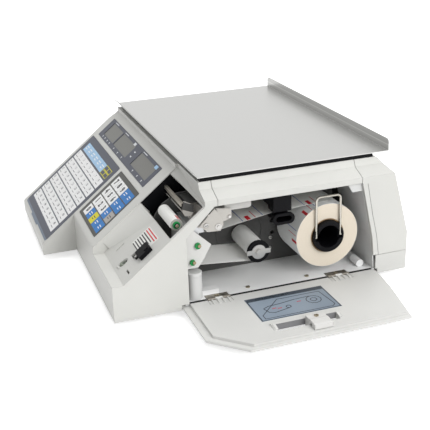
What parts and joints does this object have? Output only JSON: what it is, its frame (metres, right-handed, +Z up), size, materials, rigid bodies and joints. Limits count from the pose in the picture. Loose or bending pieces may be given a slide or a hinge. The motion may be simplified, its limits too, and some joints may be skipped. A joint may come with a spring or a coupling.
{
  "type": "label printing scale",
  "caption": "Counter-top retail weighing scale with a keyboard slope, flat steel pan and built-in thermal label printer behind an open side door",
  "frame": {"origin": "Bottom centre of the box around the scale with its side door open, on the counter under the feet", "axes": "+X points to the right of the person at the keyboard, out through the printer door; +Y points from that person to the rear; +Z is up"},
  "size_m": [0.5254, 0.4258, 0.174],
  "materials": {
    "housing": "satin moulded",
    "bay_plastic": "satin moulded",
    "pan_steel": "brushed",
    "support": "as cast",
    "stand": "satin",
    "slate_film": "semi gloss",
    "lcd": "glossy",
    "circuit_board": "satin",
    "preset_film": "semi gloss",
    "keypad_film": "semi gloss",
    "black_plastic": "satin",
    "chassis": "dark grey powder coat",
    "motor": "satin",
    "steel": "bright",
    "nickel_wire": "polished",
    "release_plate": "satin",
    "print_head": "satin",
    "brass": "bright",
    "green_plastic": "semi gloss",
    "white_plastic": "satin",
    "rubber": "matte",
    "outlet_roller": "satin",
    "label_paper": "matte",
    "liner_paper": "satin",
    "core_card": "matte",
    "level_vial": "glossy",
    "diagram_film": "semi gloss",
    "supply_case": "satin"
  },
  "bodies": {
    "housing": {"base_tray": "housing", "bay_floor": "bay_plastic", "bay_rear_wall": "bay_plastic", "bearing_caps": "green_plastic", "display_board": "circuit_board", "display_panel": "slate_film", "floor_screws": "brass", "front_housing": "housing", "gap_sensor": "black_plastic", "head_spring": "steel", "hinge_base_leaves": "steel", "key_boards": "circuit_board", "label_taken_sensor": "black_plastic", "label_web": "label_paper", "lcd_modules": "lcd", "liner_web": "liner_paper", "load_cell": "support", "load_cell_stand": "stand", "main_board": "circuit_board", "number_key_overlay": "keypad_film", "pan_support": "support", "power_inlet": "black_plastic", "power_supply": "supply_case", "preset_key_overlay": "preset_film", "printer_chassis": "chassis", "rear_cover": "housing", "roller_side_plate": "white_plastic", "spirit_level": "level_vial", "stepper_motor": "motor", "supply_hub": "black_plastic", "take_up_belt": "rubber", "top_cover": "housing", "web_guide": "black_plastic"},
    "door": {"side_door": "housing", "hinge_door_leaves": "housing", "door_guide_plate": "diagram_film"},
    "latch": {"door_latch": "white_plastic", "latch_screw": "brass"},
    "pan": {"weighing_pan": "pan_steel"},
    "supply_roll": {"label_roll": "label_paper", "roll_core": "core_card"},
    "platen": {"platen_shaft": "steel", "platen_roller": "rubber", "platen_gear": "black_plastic"},
    "outlet": {"outlet_roller": "outlet_roller"},
    "liner_idler": {"liner_roller": "steel"},
    "take_up": {"take_up_spool": "black_plastic", "liner_wrap": "liner_paper", "spool_clip": "steel"},
    "pinion": {"motor_pinion": "steel"},
    "bail": {"roll_bail": "nickel_wire"},
    "head": {"head_arm": "steel", "head_release_plate": "release_plate", "head_pivot_shaft": "steel", "print_head": "print_head"},
    "rocker": {"power_rocker": "black_plastic"},
    "foot_front_left": {"foot_front_left": "rubber"},
    "foot_front_right": {"foot_front_right": "rubber"},
    "foot_rear_left": {"foot_rear_left": "rubber"},
    "foot_rear_right": {"foot_rear_right": "rubber"}
  },
  "joints": [
    {"name": "door_hinge", "type": "hinge", "parent": "housing", "child": "door", "pos_m": [0.14075, 0.03865, 0.014], "axis": [0, -1, 0], "range_deg": [0, 90]},
    {"name": "latch_slide", "type": "slide", "parent": "door", "child": "latch", "axis": [0, 1, 0], "range_m": [-0.03, 0.014]},
    {"name": "pan_lift_off", "type": "slide", "parent": "housing", "child": "pan", "axis": [0, 0, 1], "range_m": [0, 0.06]},
    {"name": "roll_spin", "type": "hinge", "parent": "housing", "child": "supply_roll", "pos_m": [0.10025, 0.10565, 0.0655], "axis": [1, 0, 0], "continuous": true},
    {"name": "platen_spin", "type": "hinge", "parent": "housing", "child": "platen", "pos_m": [0.10025, -0.06135, 0.082], "axis": [1, 0, 0], "continuous": true},
    {"name": "outlet_roller_spin", "type": "hinge", "parent": "housing", "child": "outlet", "pos_m": [0.10025, -0.08235, 0.107], "axis": [1, 0, 0], "continuous": true},
    {"name": "liner_roller_spin", "type": "hinge", "parent": "housing", "child": "liner_idler", "pos_m": [0.10025, -0.06835, 0.062], "axis": [1, 0, 0], "continuous": true},
    {"name": "take_up_spin", "type": "hinge", "parent": "housing", "child": "take_up", "pos_m": [0.10025, 0.01525, 0.0597], "axis": [1, 0, 0], "continuous": true},
    {"name": "motor_pinion_spin", "type": "hinge", "parent": "housing", "child": "pinion", "pos_m": [0.05025, -0.03335, 0.082], "axis": [1, 0, 0], "continuous": true},
    {"name": "bail_fold", "type": "hinge", "parent": "housing", "child": "bail", "pos_m": [0.13265, 0.10565, 0.0655], "axis": [0, -1, 0], "range_deg": [-90, 0]},
    {"name": "head_lift", "type": "hinge", "parent": "housing", "child": "head", "pos_m": [0.10025, -0.03495, 0.101], "axis": [-1, 0, 0], "range_deg": [0, 10], "stiffness_Nm_per_rad": 2, "springref_deg": -8.59, "deforming": ["head_spring"]},
    {"name": "rocker_tilt", "type": "hinge", "parent": "housing", "child": "rocker", "pos_m": [-0.15725, 0.20565, 0.047], "axis": [1, 0, 0], "range_deg": [0, 12]},
    {"name": "foot_front_left_turn", "type": "hinge", "parent": "housing", "child": "foot_front_left", "pos_m": [-0.23075, -0.13735, 0.005], "axis": [0, 0, 1], "continuous": true},
    {"name": "foot_front_right_turn", "type": "hinge", "parent": "housing", "child": "foot_front_right", "pos_m": [0.11125, -0.13735, 0.005], "axis": [0, 0, 1], "continuous": true},
    {"name": "foot_rear_left_turn", "type": "hinge", "parent": "housing", "child": "foot_rear_left", "pos_m": [-0.23075, 0.17765, 0.005], "axis": [0, 0, 1], "continuous": true},
    {"name": "foot_rear_right_turn", "type": "hinge", "parent": "housing", "child": "foot_rear_right", "pos_m": [0.11125, 0.17765, 0.005], "axis": [0, 0, 1], "continuous": true}
  ],
  "couplings": [
    {"joint": "platen_spin", "follows": "roll_spin", "ratio": 4.1},
    {"joint": "outlet_roller_spin", "follows": "roll_spin", "ratio": 5.8571},
    {"joint": "liner_roller_spin", "follows": "roll_spin", "ratio": 6.8333},
    {"joint": "take_up_spin", "follows": "roll_spin", "ratio": 3.4167},
    {"joint": "motor_pinion_spin", "follows": "roll_spin", "ratio": -10.25}
  ]
}
